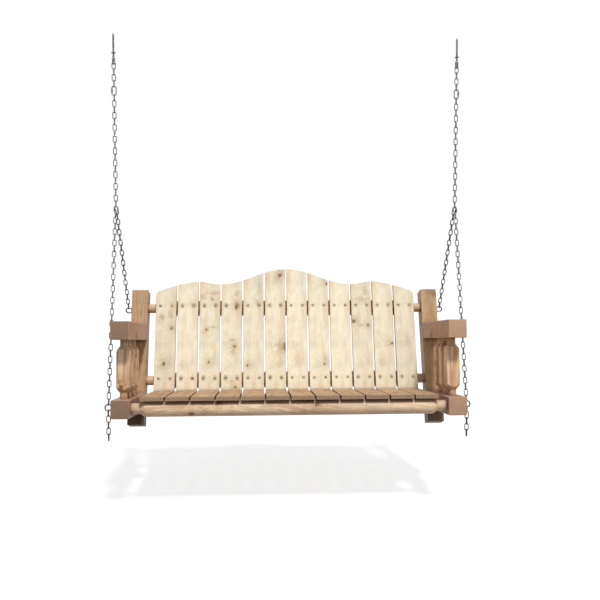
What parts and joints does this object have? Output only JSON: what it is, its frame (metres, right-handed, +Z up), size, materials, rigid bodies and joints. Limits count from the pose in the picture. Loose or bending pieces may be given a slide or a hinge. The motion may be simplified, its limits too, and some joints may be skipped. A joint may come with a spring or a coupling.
{
  "type": "porch swing seat",
  "caption": "Slatted timber swing seat with a waved back, square side frames and log rails, hung on forked chains from eye screws.",
  "frame": {"origin": "middle of the hanging line, which joins the centres of the top wires of the two top chain links, where they turn in the hanger eyes", "axes": "+Z up; +Y from the seat's front to its back; +X to the left hand of a person who sits in it. The names left and right are as seen by someone who stands in front of the seat: left is -X"},
  "size_m": [1.812, 0.7811, 2.059],
  "materials": {
    "timber_pine": "oiled, satin",
    "spindle_pine": "oiled, satin",
    "log_pine": "peeled and oiled, satin",
    "seat_slat_pine": "planed and oiled",
    "back_slat_pine": "planed and oiled",
    "zinc_chain": "bright zinc",
    "zinc_fittings": "bright zinc",
    "screw_steel": "dull zinc"
  },
  "bodies": {
    "hangers": {"hanger_eye_left": "zinc_fittings", "hanger_eye_right": "zinc_fittings"},
    "chains": {"connecting_link_left": "zinc_fittings", "connecting_link_right": "zinc_fittings", "upper_chain_left": "zinc_chain", "upper_chain_right": "zinc_chain"},
    "seat": {"side_rail_left": "timber_pine", "side_rail_right": "timber_pine", "arm_left": "timber_pine", "arm_right": "timber_pine", "rear_post_left": "timber_pine", "rear_post_right": "timber_pine", "front_spindle_left": "spindle_pine", "front_spindle_right": "spindle_pine", "middle_spindle_left": "spindle_pine", "middle_spindle_right": "spindle_pine", "rear_spindle_left": "spindle_pine", "rear_spindle_right": "spindle_pine", "front_seat_rail": "log_pine", "rear_seat_rail": "log_pine", "lower_back_rail": "log_pine", "upper_back_rail": "log_pine", "seat_slat_01": "seat_slat_pine", "seat_slat_02": "seat_slat_pine", "seat_slat_03": "seat_slat_pine", "seat_slat_04": "seat_slat_pine", "seat_slat_05": "seat_slat_pine", "seat_slat_06": "seat_slat_pine", "seat_slat_07": "seat_slat_pine", "seat_slat_08": "seat_slat_pine", "seat_slat_09": "seat_slat_pine", "seat_slat_10": "seat_slat_pine", "seat_slat_11": "seat_slat_pine", "seat_slat_12": "seat_slat_pine", "back_slat_01": "back_slat_pine", "back_slat_02": "back_slat_pine", "back_slat_03": "back_slat_pine", "back_slat_04": "back_slat_pine", "back_slat_05": "back_slat_pine", "back_slat_06": "back_slat_pine", "back_slat_07": "back_slat_pine", "back_slat_08": "back_slat_pine", "back_slat_09": "back_slat_pine", "back_slat_10": "back_slat_pine", "back_slat_11": "back_slat_pine", "back_slat_12": "back_slat_pine", "front_chain_left": "zinc_chain", "front_chain_right": "zinc_chain", "rear_chain_left": "zinc_chain", "rear_chain_right": "zinc_chain", "front_eye_left": "zinc_fittings", "front_eye_right": "zinc_fittings", "rear_eye_left": "zinc_fittings", "rear_eye_right": "zinc_fittings", "seat_slat_screws": "screw_steel", "back_slat_screws": "screw_steel"},
    "tail_left": {"tail_chain_left": "zinc_chain"},
    "tail_right": {"tail_chain_right": "zinc_chain"}
  },
  "joints": [
    {"name": "swing", "type": "hinge", "parent": "hangers", "child": "chains", "pos_m": [0, 0, 0], "axis": [1, 0, 0], "range_deg": [-30, 30]},
    {"name": "seat_rock", "type": "hinge", "parent": "chains", "child": "seat", "pos_m": [0, 0, -0.7275], "axis": [1, 0, 0], "range_deg": [-12, 12]},
    {"name": "tail_swing_left", "type": "hinge", "parent": "seat", "child": "tail_left", "pos_m": [-0.886, -0.29462, -1.73771], "axis": [1, 0, 0], "range_deg": [-60, 60]},
    {"name": "tail_swing_right", "type": "hinge", "parent": "seat", "child": "tail_right", "pos_m": [0.886, -0.29462, -1.73771], "axis": [1, 0, 0], "range_deg": [-60, 60]}
  ]
}
